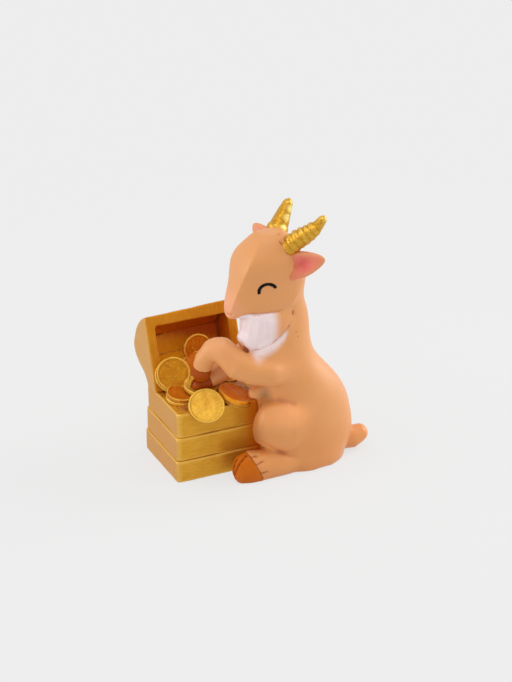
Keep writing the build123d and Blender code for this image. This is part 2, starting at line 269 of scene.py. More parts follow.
def chest_paint():
    """Brushed gold with a brown wash in the seams; painted highlights make the left end paler and
    the raised edges brighter, and painted shade darkens it by the goat.
    """
    paint = Paint("chest_gold_paint", IOR=1.5, Specular_IOR_Level=0.3)
    strokes = paint.grain(0.22, 4, (0.12, 0.12, 1.0))
    patches = paint.grain(4.5, 3)
    body = paint.mix(patches, colour(204, 140, 22), colour(226, 166, 46))
    body = paint.mix(paint.fade(strokes, 0.35, 0.75) * 0.45, body, colour(236, 186, 74))
    corner = chest_corner / mm
    # Painted highlight: the left end is painted paler.
    left_end_highlight = paint.fade(paint.parts["X"], corner.x + 1.0, corner.x + 0.4)
    body = paint.mix(left_end_highlight * 0.8, body, colour(206, 146, 72))
    # Painted highlight: the raised edges and lumps are painted paler gold.
    edge_highlight = paint.fade(paint.stored("hollow"), -0.15, -0.7)
    body = paint.mix(edge_highlight * 0.5, body, colour(238, 194, 92))
    # Painted shade: the front turns a darker orange towards the goat and shines less there.
    shade_by_goat = paint.fade(paint.parts["X"] + patches * 3, -6.5, -1.0)
    front = paint.fade(paint.parts["Y"], corner.y + 7, corner.y + 2)
    body = paint.mix(shade_by_goat * front * 0.85, body, colour(248, 142, 2))
    seam = paint.fade(paint.stored("hollow") + (strokes - 0.5) * 0.3, 0.25, 0.8)
    body = paint.mix(seam * 0.75, body, colour(132, 70, 10))
    rough = 0.36 + patches * 0.12 + seam * 0.2
    shine = 0.55 - shade_by_goat * 0.25 - seam * 0.25
    return paint.finish(body, rough, shine, strokes, 0.05)


chest_gold = chest_paint()


def plank_course(node, name):
    """A block with its upright corners and its rims rounded."""
    low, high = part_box(node)
    bpy.ops.mesh.primitive_cube_add(size=1, location=(low + high) / 2, scale=high - low)
    course = bpy.context.object
    course.name = name
    only(course)
    bpy.ops.object.transform_apply()
    pick(course, "EDGE", lambda e: abs(e.verts[0].co.z - e.verts[1].co.z) > 1 * mm)
    bpy.ops.mesh.bevel(offset=course_corner_round, segments=4, affect="EDGES")
    rims = {round(low.z, 6), round(high.z, 6)}
    pick(course, "EDGE", lambda e: all(round(v.co.z, 6) in rims for v in e.verts))
    bpy.ops.mesh.bevel(offset=course_edge_round, segments=3, affect="EDGES")
    return course


def carve_course(course):
    """Softens a board's edges, carves it and gives it brush marks."""
    clay(course, board_grain, 2)
    carve(course, carving_size, carving_depth)
    carve(course, brush_size, brush_depth)
    hollows(course, 12, board_hollow)


for level in ("base", "middle"):
    course = plank_course(f"chest_{level}_course", f"chest_{level}_planks")
    carve_course(course)
    hand_over(course, chest_gold, "chest_gold", f"chest_{level}_course")

# ---------------------------------------------------------------------------------------------
# Chest rim: the top course is the same board with a pocket sunk into it, which holds the heap
# of coins. Its rim is a little higher than the heap at the front and the left.
rim_wall = 1.7 * mm
pocket_depth = 3.0 * mm
top_course = plank_course("chest_top_course", "chest_top_planks")
pick(top_course, "FACE", lambda f: f.normal.z > 0.99)
bpy.ops.mesh.inset(thickness=rim_wall - course_edge_round, depth=0)
bpy.ops.mesh.extrude_region_move(TRANSFORM_OT_translate={"value": (0, 0, -pocket_depth)})
carve_course(top_course)
hand_over(top_course, chest_gold, "chest_gold", "chest_top_course")

# ---------------------------------------------------------------------------------------------
# Lid: one hollow barrel that stands open and leans back. Its rim is painted like the planks,
# with a painted highlight on its left end; the recess has a brown wash under a dry brush of
# gold, and painted shade makes it darkest under the top rim.
lid_lean = radians(19.4)
lid_setback, lid_rim, recess_height = 12.7, 2.2, 15.6  # in millimetres, for the paint too
lid_foot = Vector((chest_corner.x, chest_corner.y + lid_setback * mm, chest_top))


def merged_copy(node, name):
    """A copy of a CAD node as the blank for a carved piece, with its loose triangles joined."""
    blank = bpy.data.objects.new(name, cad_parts[node].data.copy())
    bpy.context.collection.objects.link(blank)
    blank.data.materials.clear()
    pick(blank, "VERT", lambda v: True)
    bpy.ops.mesh.remove_doubles(threshold=1e-7)
    bpy.ops.mesh.customdata_custom_splitnormals_clear()
    only(blank)
    return blank


def lid_paint():
    """Gold outside and on the rim, paler on the left end as a painted highlight; the recess is
    orange, and dark brown towards its top, as brown wash and painted shade under the rim.
    """
    paint = Paint("lid_gold_paint", IOR=1.5, Specular_IOR_Level=0.3)
    strokes = paint.grain(0.3, 4, (1.0, 0.35, 0.10))
    patches = paint.grain(4.5, 3)
    body = paint.mix(patches, colour(196, 118, 2), colour(214, 142, 18))
    body = paint.mix(paint.fade(strokes, 0.4, 0.75) * 0.35, body, colour(226, 170, 60))
    foot = lid_foot / mm
    # Painted highlight: the left end face is paler.
    end_face_highlight = paint.fade(paint.parts["X"], foot.x + 0.45, foot.x + 0.15)
    body = paint.mix(end_face_highlight * 0.85, body, colour(212, 160, 88))
    back, high = paint.parts["Y"] - foot.y, paint.parts["Z"] - foot.z
    up = back * sin(lid_lean) + high * cos(lid_lean)
    behind = back * cos(lid_lean) - high * sin(lid_lean)
    inside = paint.fade(behind, 0.2, 0.8)
    half = (chest_right - chest_corner.x) / mm / 2
    across = paint.parts["X"] - (foot.x + half)
    reach = paint.node("ShaderNodeMath", {"operation": "ABSOLUTE"}, {0: across})
    inside = inside * paint.fade(reach, half - lid_rim, half - lid_rim - 0.3)
    inside = inside * paint.fade(up, recess_height, recess_height - 0.3)
    inside = inside * paint.fade(paint.stored("outer"), 0.45, 0.2)
    pale = paint.mix(strokes, colour(250, 160, 4), colour(255, 192, 30))
    dark = paint.mix(strokes, colour(186, 80, 2), colour(214, 112, 8))
    # Painted shade over the brown wash: the recess darkens towards the top rim.
    wash_and_shade_under_rim = paint.fade(up + across * 0.25 + (strokes - 0.5) * 4, 9.0, 13.0)
    body = paint.mix(inside, body, paint.mix(wash_and_shade_under_rim, pale, dark))
    seam = paint.fade(paint.stored("hollow") + (strokes - 0.5) * 0.3, 0.25, 0.8)
    body = paint.mix(seam * 0.7, body, colour(128, 60, 6))
    rough = 0.38 + patches * 0.14
    shine = 0.5 - inside * 0.45 - seam * 0.05
    return paint.finish(body, rough, shine, strokes, 0.06)


lid = merged_copy("chest_lid", "chest_lid_barrel")
clay(lid, board_grain, 2)
carve(lid, 5.0 * mm, carving_depth)
carve(lid, brush_size, brush_depth)
hollows(lid, 12, board_hollow)

# The recess is painted only where the skin looks forwards, so none of it shows on the back.
looks = np.empty(len(lid.data.vertices) * 3)
lid.data.vertex_normals.foreach_get("vector", looks)
keep(lid, "outer", looks.reshape(-1, 3) @ np.array((0, cos(lid_lean), -sin(lid_lean))))
hand_over(lid, lid_paint(), "chest_gold", "chest_lid")

# ---------------------------------------------------------------------------------------------
# Heap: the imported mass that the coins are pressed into. It was left rough and washed nearly
# brown, so that the gold coins stand out.


def heap_paint():
    """Brown with gold only on the lumps that stick out."""
    paint = Paint("heap_paint", IOR=1.5)
    lumps = paint.grain(0.7, 4)
    body = paint.mix(paint.fade(lumps, 0.35, 0.7), colour(150, 70, 8), colour(206, 124, 22))
    high = paint.fade(paint.stored("hollow"), 0.1, -0.5)
    body = paint.mix(high * 0.5, body, colour(206, 140, 44))
    return paint.finish(body, 0.45 + lumps * 0.2, high * 0.4 + 0.1, lumps, 0.12)


heap = merged_copy("coin_heap", "heap_of_gold")
clay(heap, 0.25 * mm, 1)
carve(heap, 1.6 * mm, 0.5 * mm)
carve(heap, 0.6 * mm, 0.12 * mm)
hollows(heap, 10, 0.06 * mm)
hand_over(heap, heap_paint(), "coin_gold", "coin_heap")

# ---------------------------------------------------------------------------------------------
# Coins: blank discs with a raised rim and a milled edge. They were carved in the master, so
# their faces are rough and no two rims are alike. Each is given as its middle, in millimetres
# from the chest's front left corner and above its rim, and the way that its face looks.
coin_radius = 3.95
coin_thickness = 1.0
coin_rim_width = 0.38
coin_rim_slope = 0.12
coin_face_sink = 0.15
milled_teeth = 44
tooth_gap_scale = 0.975
step = coin_thickness + 0.02
flat = Vector((-0.06, -0.12, 0.99)).normalized()
stack = Vector((4.9, 7.4, 1.9))
sloped = Vector((0.32, -0.16, 0.93)).normalized()
right = Vector((15.4, 2.3, 1.6))
raised = Vector((-0.36, -0.80, 0.48)).normalized()
leaning = Vector((4.2, 11.5, 4.9))
lid_way = Vector((0, -cos(lid_lean), sin(lid_lean)))


def coin_paint(name, light, middle, wash, share, gloss=0.2):
    """Gold over brown, with a painted highlight on the raised rim; `share` says how much of the
    wash was left on the face.
    """
    paint = Paint(name, IOR=1.5, Specular_IOR_Level=gloss)
    pits = paint.grain(0.35, 4)
    patches = paint.grain(2.2, 3)
    body = paint.mix(paint.fade(pits, 0.3, 0.7), middle, light)
    body = paint.mix(paint.fade(patches, 0.3, 0.7) * share, body, wash)
    # Painted highlight on the raised rim and lumps.
    high = paint.fade(paint.stored("hollow"), 0.05, -0.5)
    body = paint.mix(high * 0.6, body, colour(240, 192, 80))
    low = paint.fade(paint.stored("hollow") + (pits - 0.5) * 0.4, 0.2, 0.7)
    body = paint.mix(low * 0.7, body, colour(150, 80, 8))
    return paint.finish(body, 0.36 + pits * 0.16, 0.85 - low * 0.4 - share * 0.75, pits, 0.04)


bright_coin = coin_paint(
    "bright_coin_paint", colour(230, 184, 78), colour(214, 158, 42), colour(188, 122, 16), 0.3
)
aged_coin = coin_paint(
    "aged_coin_paint", colour(210, 144, 20), colour(192, 116, 2), colour(168, 88, 0), 0.45
)
brown_coin = coin_paint(
    "brown_coin_paint", colour(198, 108, 2), colour(188, 96, 0), colour(190, 94, 0), 0.9, 0.08
)
orange_coin = coin_paint(
    "orange_coin_paint", colour(255, 164, 4), colour(250, 144, 0), colour(255, 142, 0), 0.9, 0.08
)


def mint(name, middle, face, paint, radius=coin_radius):
    """Turns, rims, mills and hammers one coin, then lays it in its place."""
    bpy.ops.mesh.primitive_cylinder_add(
        vertices=2 * milled_teeth, radius=radius * mm, depth=coin_thickness * mm
    )
    coin = bpy.context.object
    coin.name = name
    pick(coin, "FACE", lambda f: abs(f.normal.z) > 0.9)
    bpy.ops.mesh.inset(thickness=coin_rim_width * mm, depth=0)
    bpy.ops.mesh.inset(thickness=coin_rim_slope * mm, depth=-coin_face_sink * mm)
    turns = [2 * pi * tooth / milled_teeth for tooth in range(milled_teeth)]
    spots = {(round(sin(turn) * radius, 2), round(cos(turn) * radius, 2)) for turn in turns}
    edge = (radius - 0.05) * mm

    def tooth_gap(v):
        at = (round(v.co.x / mm, 2), round(v.co.y / mm, 2))
        return v.co.xy.length > edge and at in spots

    pick(coin, "VERT", tooth_gap)
    bpy.ops.transform.resize(value=(tooth_gap_scale, tooth_gap_scale, 1))
    clay(coin, 0.13 * mm, 1)
    coin.rotation_mode = "QUATERNION"
    coin.rotation_quaternion = Vector(face).to_track_quat("Z", "Y")
    coin.location = Vector((chest_corner.x, chest_corner.y, chest_top)) + middle * mm
    only(coin)
    bpy.ops.object.transform_apply()
    carve(coin, 2.2 * mm, 0.22 * mm)
    carve(coin, 0.5 * mm, 0.06 * mm)
    hollows(coin, 10, 0.05 * mm)
    hand_over(coin, paint, "coin_gold", name)
    coin.name = name + "_struck"


mint("coin_stack_bottom", stack - flat * 2 * step + Vector((0.3, 0.2, 0)), flat, aged_coin)
mint("coin_stack_middle", stack - flat * step - Vector((0.2, 0, 0)), flat, bright_coin)
mint("coin_stack_top", stack, flat, brown_coin)
mint("coin_right_lower", right - sloped * step + Vector((0.5, -0.1, -0.1)), sloped, aged_coin)
mint("coin_right_upper", right, sloped, orange_coin)
mint("coin_front", Vector((7.5, 0.3, 1.1)), (-0.15, -0.66, 0.74), bright_coin, coin_radius + 0.3)
mint("coin_leaning_back", leaning - raised * step - Vector((0.5, 0, 0.2)), raised, bright_coin)
mint("coin_leaning_front", leaning, raised, aged_coin)
mint("coin_centre", Vector((8.7, 6.4, 3.1)), (0.05, -0.16, 0.98), bright_coin)
mint("coin_wrist", Vector((11.2, 13.4, 4.4)), (-0.2, -0.6, 0.77), brown_coin)
lid_coin_up, lid_coin_in = 8.2, 1.1
lid_coin = Vector((12.4, lid_setback, 0))
lid_coin.y += lid_coin_in * cos(lid_lean) + lid_coin_up * sin(lid_lean)
lid_coin.z = lid_coin_up * cos(lid_lean) - lid_coin_in * sin(lid_lean)
mint("coin_in_lid", lid_coin, lid_way, brown_coin, coin_radius - 0.3)
mint("coin_back_right", Vector((16.6, 12.0, 2.4)), (0.25, -0.2, 0.94), aged_coin)

# ---------------------------------------------------------------------------------------------
# Ears: thin leaves with a scooped inside and a blunt tip. They are shaped on their own here and
# pressed onto the head of the clay master below. The scoop is airbrushed pink, with painted
# shade in orange-brown at its root and in its fold.

# Places on the goat are millimetres from its seat, on the ground by the chest's right corner.
seat = Vector((chest_corner.x / mm + 23.0, chest_corner.y / mm + 0.8, 0.0))
ear_root_overlap = 1.6
ear_tip_cut = 2.8


def ear_paint(name, root, tip, way, pink):
    """Flesh with a pink scoop and painted shade at the root and in the fold; `pink` says how
    strongly the scoop was sprayed.
    """
    paint = Paint(name, IOR=1.5)
    root, tip, way = seat + Vector(root), seat + Vector(tip), Vector(way)
    middle = root.lerp(tip, 0.6)
    fine = paint.grain(0.4, 3)
    offset = paint.vector("SUBTRACT", paint.place, middle)
    inputs = {0: offset, 1: way}
    facing = paint.node("ShaderNodeVectorMath", {"operation": "DOT_PRODUCT"}, inputs, 1)
    body = paint.mix(fine, colour(226, 150, 98), colour(236, 162, 110))
    sunk = paint.fade(paint.stored("hollow") + (fine - 0.5) * 0.2, -0.75, -0.05)
    inside = paint.fade(facing, -0.75, -0.15) * sunk
    body = paint.mix(inside * pink, body, colour(232, 128, 98))
    scoop = paint.spot(middle, (3.4, 3.4, 2.6), 0.1)
    body = paint.mix(scoop * inside * pink * 0.9, body, colour(230, 96, 96))
    # Painted shade at the root, where the ear meets the head.
    root_shade = paint.spot(root, (3.8, 3.8, 4.6), 0.4)
    body = paint.mix(root_shade * 0.8, body, colour(214, 124, 62))
    # Painted shade in the fold of the scoop.
    fold = paint.spot(root.lerp(tip, 0.4), (2.4, 2.4, 1.0), 0.1)
    body = paint.mix(fold * inside * 0.5, body, colour(212, 104, 50))
    return paint.finish(body, 0.4 + fine * 0.08, None, fine, 0.02)


def leaf_ear(name, root, tip, way, half_width, thickness):
    """A flat ball, scooped on the side that looks along `way`, narrowed and cut off at the tip."""
    root, tip, way = Vector(root), Vector(tip), Vector(way)
    along = (tip - root).normalized()
    way = (way - along * way.dot(along)).normalized()
    start, end = root - along * ear_root_overlap, tip + along * ear_tip_cut
    bpy.ops.mesh.primitive_uv_sphere_add(segments=48, ring_count=28, radius=1)
    ear = bpy.context.object
    ear.name = name
    pick(ear, "FACE", lambda f: f.calc_center_median().z > 0.62)
    bpy.ops.mesh.inset(thickness=0.06, depth=-0.5)
    bpy.ops.mesh.inset(thickness=0.25, depth=-0.35)
    only(ear)
    half_length = (end - start).length / 2
    ear.scale = Vector((half_length, half_width, thickness)) * mm
    bpy.ops.object.transform_apply()
    apply(ear, "SIMPLE_DEFORM", deform_method="TAPER", factor=-0.7, deform_axis="X")
    pick(ear, "VERT", lambda v: True)
    bpy.ops.mesh.bisect(
        plane_co=((half_length - ear_tip_cut) * mm, 0, 0),
        plane_no=(1, 0, 0),
        clear_outer=True,
        use_fill=True,
    )
    turn = Matrix((along, way.cross(along), way)).transposed()
    ear.rotation_mode = "QUATERNION"
    ear.rotation_quaternion = turn.to_quaternion()
    ear.location = (seat + (start + end) / 2) * mm
    only(ear)
    bpy.ops.object.transform_apply()
    return ear


left_ear = ((2.4, -4.0, 50.9), (7.7, -7.7, 52.9), (-0.45, -0.85, 0.25))
right_ear = ((2.5, 3.6, 53.2), (2.0, 8.8, 54.9), (-0.85, 0.1, 0.5))
ear_leaves = {
    "goat_left_ear": leaf_ear("left_leaf", *left_ear, 3.1, 1.3),
    "goat_right_ear": leaf_ear("right_leaf", *right_ear, 2.5, 1.2),
}
ear_paints = {
    "goat_left_ear": ear_paint("left_ear_paint", *left_ear, 1.0),
    "goat_right_ear": ear_paint("right_ear_paint", *right_ear, 0.4),
}

# ---------------------------------------------------------------------------------------------
# Goat's body: trunk, head, legs, tail, ears and beard are one clay skin, smoothed with a brush,
# scored, and parted where the CAD nodes meet. The flesh is sprayed peach with a wash and painted
# shade in the creases, and the beard is brushed a pinkish white that runs onto the chest below it.
skin_grain = 0.2 * mm
skin_hollow = 0.28 * mm
smallest_patch = 300
body_nodes = {
    "goat_torso": "goat_trunk",
    "goat_head": "goat_head_carved",
    "goat_left_thigh": "goat_left_haunch",
    "goat_right_thigh": "goat_right_haunch",
    "goat_left_hind_foot": "goat_left_pastern",
    "goat_right_hind_foot": "goat_right_pastern",
    "goat_left_foreleg": "goat_left_arm",
    "goat_right_foreleg": "goat_right_arm",
    "goat_tail": "goat_tail_stub",
    "goat_bib": "goat_bib_patch",
    "goat_beard": "goat_beard_tuft",
    "goat_left_ear": "goat_left_ear_leaf",
    "goat_right_ear": "goat_right_ear_leaf",
}


def places(piece):
    """Every point of a piece, in millimetres from the goat's seat."""
    flat = np.empty(len(piece.data.vertices) * 3)
    piece.data.vertices.foreach_get("co", flat)
    return flat.reshape(-1, 3) / mm - np.array(seat)


def brush(piece, centre, reach, rounds):
    """Smooths the skin within an ellipsoid, most in its middle, as a sculptor's brush does."""
    place = places(piece)
    offset = (place - np.array(centre)) / np.array(reach)
    weight = np.clip(1.5 * (1 - np.sqrt((offset**2).sum(axis=1))), 0, 1)
    pairs = np.empty(len(piece.data.edges) * 2, dtype=np.int32)
    piece.data.edges.foreach_get("vertices", pairs)
    pairs = pairs.reshape(-1, 2)
    pairs = pairs[(weight[pairs] > 0).any(axis=1)]
    touched, ends = np.unique(pairs, return_inverse=True)
    here, there = ends.reshape(-1, 2).T
    here, there = np.concatenate([here, there]), np.concatenate([there, here])
    count = len(touched)
    skin, strength = place[touched], weight[touched, None] / 2
    neighbours = np.bincount(here, minlength=count)[:, None]
    for _ in range(rounds):
        drawn = [np.bincount(here, skin[there, axis], count) for axis in range(3)]
        skin += strength * (np.stack(drawn, axis=1) / neighbours - skin)
    place[touched] = skin
    piece.data.vertices.foreach_set("co", ((place + np.array(seat)) * mm).ravel())
    piece.data.update()


def score(piece, width, depth, *lines, ends=0.25):
    """Cuts soft grooves along lines of places on the skin; a negative depth raises a ridge.
    `ends` is the share of a line over which it runs out."""
    skin = places(piece)
    weight = np.zeros(len(skin))
    for line in lines:
        line = np.array(line, dtype=float)
        margin = 4 * width + 1
        low, high = line.min(axis=0) - margin, line.max(axis=0) + margin
        near = np.nonzero(((skin > low) & (skin < high)).all(axis=1))[0]
        runs = np.linalg.norm(np.diff(line, axis=0), axis=1)
        at = np.concatenate([[0], np.cumsum(runs)])
        for t in np.linspace(0, 1, int(at[-1] / (0.4 * width)) + 2):
            spot = np.array([np.interp(t * at[-1], at, line[:, axis]) for axis in range(3)])
            spot = skin[near][np.argmin(((skin[near] - spot) ** 2).sum(axis=1))]
            away = ((skin[near] - spot) ** 2).sum(axis=1)
            fade = min(1, min(t, 1 - t) / ends + 0.15) if ends else 1
            weight[near] = np.maximum(weight[near], fade * np.exp(-away / width**2))
    group = piece.vertex_groups.new(name="knife")
    for index in np.nonzero(weight > 0.01)[0]:
        group.add([int(index)], float(weight[index]), "REPLACE")
    apply(piece, "DISPLACE", vertex_group="knife", strength=-depth * mm, mid_level=0)
    piece.vertex_groups.clear()


def clay_paint(name):
    """Peach flesh with the beard's white brushed over it, and the wash over both. Painted light
    makes the top, the haunch, the knee and the back paler, and painted shade darkens the foot of
    the body, the creases and the places by the arm and the chest.
    """
    paint = Paint(name, IOR=1.5, Specular_IOR_Level=0.7, Sheen_Weight=0.2, Sheen_Roughness=0.4)
    sx, sy, sz = seat
    soft = paint.grain(5.0, 2)
    fine = paint.grain(0.35, 4)
    body = paint.mix(soft, colour(220, 141, 66), colour(230, 153, 80))
    # Painted light: the flesh is paler towards the top.
    top_light = paint.fade(paint.parts["Z"], sz + 2, sz + 40)
    body = paint.mix(top_light * 0.3, body, colour(236, 168, 106))
    muzzle = paint.spot((sx - 10.5, sy, sz + 41.5), (5.5, 6, 7), 0.2)
    body = paint.mix(muzzle * 0.7, body, colour(246, 164, 124))
    # Painted highlight on the top of the haunch.
    haunch = paint.spot((sx + 2, sy - 9, sz + 16), (9, 6, 5), 0.1)
    body = paint.mix(haunch * 0.7, body, colour(255, 172, 104))
    # Painted highlight on the knee.
    knee_highlight = paint.spot((sx - 12, sy, sz + 33), (5, 5, 4), 0.1)
    body = paint.mix(knee_highlight * 0.3, body, colour(246, 172, 122))
    # Painted shade: the flesh darkens towards the ground.
    ground = paint.fade(paint.parts["Z"] + soft * 2, sz + 4.5, sz + 0.5)
    body = paint.mix(ground * 0.4, body, colour(210, 130, 60))
    tail = paint.spot((sx + 23, sy - 2, sz + 4), (6, 6, 6), 0.3)
    body = paint.mix(tail * 0.5, body, colour(236, 150, 84))
    # Painted light: the back is paler.
    back = paint.spot((sx + 14, sy - 5, sz + 20), (10, 9, 20), 0.2)
    body = paint.mix(back * 0.25, body, colour(236, 170, 118))
    strands = paint.grain(0.5, 3, (1, 1, 0.12))
    white = paint.stored("white")
    pale = paint.mix(strands, colour(236, 212, 210), colour(250, 235, 236))
    body = paint.mix(paint.fade(white + (strands - 0.5) * 0.3 * white, 0.0, 0.9), body, pale)
    # Brown wash in the creases, which is also painted shade there.
    wash = paint.fade(paint.stored("hollow") + (fine - 0.5) * 0.12, 0.08, 0.7)
    body = paint.mix(wash * (0.72 - white * 0.4), body, colour(184, 94, 32))
    # Painted shade, darkest deep in the creases.
    deep = paint.fade(paint.stored("hollow") + (fine - 0.5) * 0.2, 0.75, 1.1)
    body = paint.mix(deep * 0.7, body, colour(140, 62, 14))
    notch = paint.spot((sx - 6.5, sy - 2.1, sz + 32.0), (1.0, 1.4, 0.9), 0.3)
    body = paint.mix(notch * 0.85, body, colour(190, 92, 24))
    # Painted shade with grey-brown overspray under the arm and between the haunch and the chest.
    shade = paint.spot((sx - 2.6, sy - 4.5, sz + 20.0), (2.2, 4.0, 3.4), 0.0)
    low = paint.spot((sx - 5.6, sy - 6, sz + 11), (3.0, 5, 6.5), 0.0)
    body = paint.mix(shade * (0.3 + soft * 0.7), body, colour(158, 108, 58))
    body = paint.mix(low * (0.3 + soft * 0.7), body, colour(176, 98, 34))
    for x, y, z in ((5.3, -5.1, 33.7), (6.4, -4.9, 26.6), (4.9, -5.0, 35.0)):
        speck = paint.spot((sx + x, sy + y, sz + z), (0.3, 1.2, 0.25), 0.4)
        body = paint.mix(speck * 0.7, body, colour(176, 100, 40))
    return paint.finish(body, 0.4 + fine * 0.08, None, fine, 0.02)


skin = clay_paint("peach_flesh_paint")
beard_white = clay_paint("beard_white_paint")
blanks = [ear_leaves.get(node) or merged_copy(node, node + "_blank") for node in body_nodes]
measure = []
for blank in blanks:
    shape = bmesh.new()
    shape.from_mesh(blank.data)
    measure.append(BVHTree.FromBMesh(shape))
    shape.free()
only(*blanks)
bpy.ops.object.join()
master = bpy.context.object
clay(master, skin_grain, 6)
brush(master, (6, -6, 14), (22, 12, 26), 16)
brush(master, (10.5, -8, 12.5), (7.5, 7, 13), 700)
brush(master, (4.2, -6, 26.5), (5.5, 5, 6), 500)
brush(master, (10, 0, 33), (5, 8, 7), 300)
brush(master, (8.0, -1, 43), (4.5, 8, 9), 500)
for side in (-1, 1):
    brush(master, (-0.5, 5.6 * side, 30.2), (5.0, 3, 2.8), 300)
    brush(master, (1.6, 5.6 * side, 37.5), (3.6, 3, 5), 300)
brush(master, (-3, -5, 37), (6, 4, 6), 30)
brush(master, (-4.6, -4.2, 30.6), (3.0, 2.6, 2.4), 150)
brush(master, (3.6, -6.0, 50.0), (2.6, 3, 3.4), 60)
score(master, 2.4, -1.1, [(-11.9, 1.6, 33.2), (-11.0, 0.6, 33.4)], ends=0)
score(master, 1.5, -3.0, [(-3.2, -2.0, 20.0), (-3.2, -2.0, 21.0)], ends=0)
brush(master, (-12, 0.4, 32), (5, 4.5, 3.5), 160)

# The creases are scored last: round the thigh, under the beard, over the brow, at the mouth,
# in the hair above the hoof and at the foot of each horn.
thigh_top = [(-1.9, -5.0, 18.5), (0.5, -5.9, 18.8), (4.0, -7.2, 18.2), (6.2, -7.8, 16.8)]
thigh_low = [
    (-4.4, -6.9, 9.4),
    (-2.2, -7.0, 7.7),
    (0.5, -7.1, 5.8),
    (2.6, -7.6, 4.7),
    (4.4, -8.0, 4.2),
]
beard_edge = [
    (3.3, -5.3, 38.2),
    (2.8, -5.3, 36.6),
    (2.0, -5.2, 35.6),
    (1.0, -5.2, 34.7),
    (0.0, -5.1, 34.0),
    (-1.2, -5.1, 33.3),
    (-2.2, -4.9, 32.8),
    (-3.2, -4.6, 32.3),
    (-4.2, -3.9, 31.9),
    (-5.1, -3.2, 31.6),
    (-5.9, -2.6, 31.4),
]
beard_nick = [(4.3, -5.0, 40.4), (4.1, -5.1, 39.2)]
cheek_ridge = [(1.6, -5.2, 42.0), (3.4, -5.1, 42.6), (4.8, -5.0, 43.9), (5.8, -4.7, 45.4)]
jaw_line = [
    (-8.5, -1.5, 39.4),
    (-7.6, -2.4, 40.1),
    (-6.1, -3.3, 40.7),
    (-4.0, -4.4, 40.8),
    (0.5, -5.2, 41.0),
    (2.2, -5.1, 41.4),
]
beard_tip = [(-7.0, -1.6, 33.3), (-6.5, -2.1, 32.1), (-6.0, -2.6, 31.4)]
locks = [
    [(-6.9, -2.8, 39.0), (-7.2, -2.6, 35.0)],
    [(-5.4, -4.1, 39.5), (-5.6, -3.9, 34.5)],
    [(-3.3, -5.2, 39.5), (-3.8, -5.1, 35.0)],
]
brow = [(-5.9, -4.7, 51.5), (-4.7, -5.0, 52.0), (-2.9, -5.2, 53.3)]
mouth = [(-10.2, -0.6, 40.4), (-10.0, -1.2, 40.45), (-9.6, -1.8, 40.8)]
upper_hair = [(-7.2, -6.7, 6.2), (-6.4, -6.8, 6.3), (-5.5, -6.8, 6.6)]
middle_hair = [(-6.6, -7.9, 4.5), (-5.6, -7.9, 4.8), (-4.4, -7.8, 5.2)]
lower_hair = [(-6.2, -8.2, 2.0), (-5.0, -8.3, 2.2), (-3.6, -8.4, 2.5)]
far_horn_foot = [(1.4, -1.5, 58.3), (2.1, -2.3, 58.5)]
near_horn_foot = [(1.2, -3.6, 57.3), (1.9, -4.4, 57.0)]
score(master, 1.2, 0.42, thigh_top, ends=0.4)
score(master, 0.6, 0.35, thigh_low)
far_beard_edge = [(place[0], -place[1], place[2]) for place in beard_edge]
score(master, 0.32, 0.34, beard_edge, far_beard_edge, ends=0.2)
score(master, 0.3, 0.35, beard_nick, ends=0.3)
score(master, 0.7, -0.22, cheek_ridge, ends=0.4)
score(master, 0.4, 0.6, beard_tip, ends=0.1)
score(master, 0.4, 0.3, jaw_line, ends=0.2)
score(master, 0.6, 0.14, *locks)
score(master, 0.55, 0.1, brow)
score(master, 0.28, 0.45, mouth)
score(master, 0.3, 0.5, upper_hair, middle_hair, lower_hair)
score(master, 0.26, 0.35, far_horn_foot, near_horn_foot)
ear_fold = [Vector(left_ear[0]).lerp(Vector(left_ear[1]), share) for share in (0.5, 0.65, 0.8)]
score(master, 0.9, 0.6, ear_fold, ends=0.3)
hollows(master, 60, skin_hollow)

# The beard is white down to the fold under it and fades into the flesh of the neck. Below the
# fold the brush went over the chest once more, lightly.
x, y, z = places(master).T
under = [(-10, 0, 36), (-8.7, 0, 34.6), (-7.6, 0, 33.4)] + beard_edge[::-1]
fold = np.interp(x, [p[0] for p in under], [p[2] for p in under])
jaw = np.interp(x, [p[0] for p in jaw_line], [p[2] for p in jaw_line])
over = np.clip((z - fold) / 0.5 + 0.3, 0, 1) * np.clip((jaw - z) / 0.3 + 0.5, 0, 1)
neck = np.clip((1.3 - x) / 3.4, 0, 1)
below = np.clip((z - fold + 3.2) / 2.2, 0, 1) * np.clip((3.4 - x) / 1.6, 0, 1) * (z < fold + 0.3)
white = over * neck + (1 - over) * below * np.clip((x + 6.5) / 2, 0, 1) * 0.7
keep(master, "white", white)


def settle(piece, labels, smallest):
    """Gives each patch of fewer faces than `smallest` to the piece around it."""
    shape = bmesh.new()
    shape.from_mesh(piece.data)
    shape.faces.ensure_lookup_table()
    seen = set()
    for start in shape.faces:
        if start.index in seen:
            continue
        seen.add(start.index)
        patch, around = [start], {}
        for face in patch:
            for other in (o for edge in face.edges for o in edge.link_faces):
                if labels[other.index] != labels[start.index]:
                    around[labels[other.index]] = around.get(labels[other.index], 0) + 1
                elif other.index not in seen:
                    seen.add(other.index)
                    patch.append(other)
        if len(patch) < smallest and around:
            owner = max(around, key=around.get)
            for face in patch:
                labels[face.index] = owner
    shape.free()


def trim_corners(piece, labels):
    """Where a piece touches itself only at a point, the smaller side goes to its neighbour."""
    shape = bmesh.new()
    shape.from_mesh(piece.data)
    for _ in range(4):
        for vert in shape.verts:
            faces = list(vert.link_faces)
            here = {labels[face.index] for face in faces}
            for label in here if len(here) > 1 else ():
                own = [face for face in faces if labels[face.index] == label]
                fan, edge = own[:1], 1
                for face in fan:
                    near = {f for e in face.edges if vert in e.verts for f in e.link_faces}
                    fan += [f for f in own if f in near and f not in fan]
                rest = [face for face in own if face not in fan]
                if rest:
                    for face in min(fan, rest, key=len):
                        labels[face.index] = next(other for other in here if other != label)
                    break
    shape.free()


